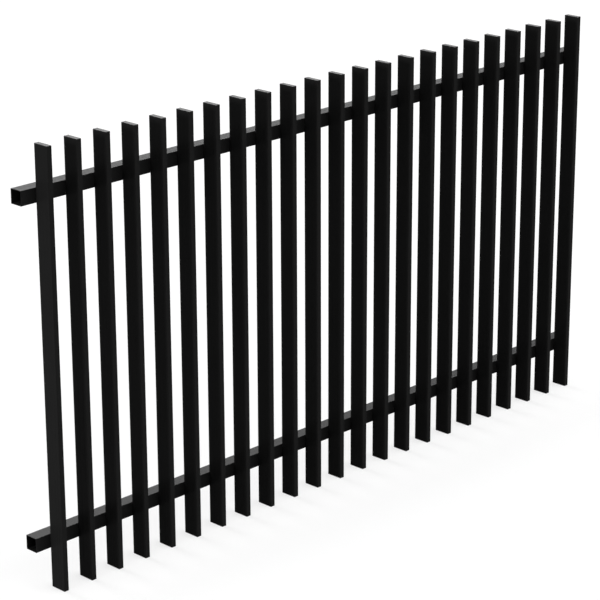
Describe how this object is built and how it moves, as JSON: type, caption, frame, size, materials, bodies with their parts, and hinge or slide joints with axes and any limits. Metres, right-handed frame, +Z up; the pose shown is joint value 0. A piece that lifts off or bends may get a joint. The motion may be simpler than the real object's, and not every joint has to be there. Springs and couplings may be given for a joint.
{
  "type": "pool fence panel",
  "caption": "Flat fence panel of upright hollow battens set on edge in front of two square open-ended rails, closing a gap between posts beside a pool.",
  "frame": {"origin": "mid-length of the panel, on the back face of the lower rail, at the height of that rail's centre line", "axes": "+X along the panel to the right as seen from the front, +Y out of the back, +Z up"},
  "size_m": [2.2, 0.09, 1.205],
  "materials": {
    "batten_coat": "satin black powder coat",
    "rail_coat": "satin black powder coat",
    "cap_plastic": "moulded black, fine matt texture"
  },
  "bodies": {
    "root": {"lower_rail": "rail_coat", "upper_rail": "rail_coat", "top_caps": "cap_plastic", "bottom_caps": "cap_plastic", "batten_01": "batten_coat", "batten_02": "batten_coat", "batten_03": "batten_coat", "batten_04": "batten_coat", "batten_05": "batten_coat", "batten_06": "batten_coat", "batten_07": "batten_coat", "batten_08": "batten_coat", "batten_09": "batten_coat", "batten_10": "batten_coat", "batten_11": "batten_coat", "batten_12": "batten_coat", "batten_13": "batten_coat", "batten_14": "batten_coat", "batten_15": "batten_coat", "batten_16": "batten_coat", "batten_17": "batten_coat", "batten_18": "batten_coat", "batten_19": "batten_coat", "batten_20": "batten_coat", "batten_21": "batten_coat", "batten_22": "batten_coat", "batten_23": "batten_coat"}
  },
  "joints": []
}
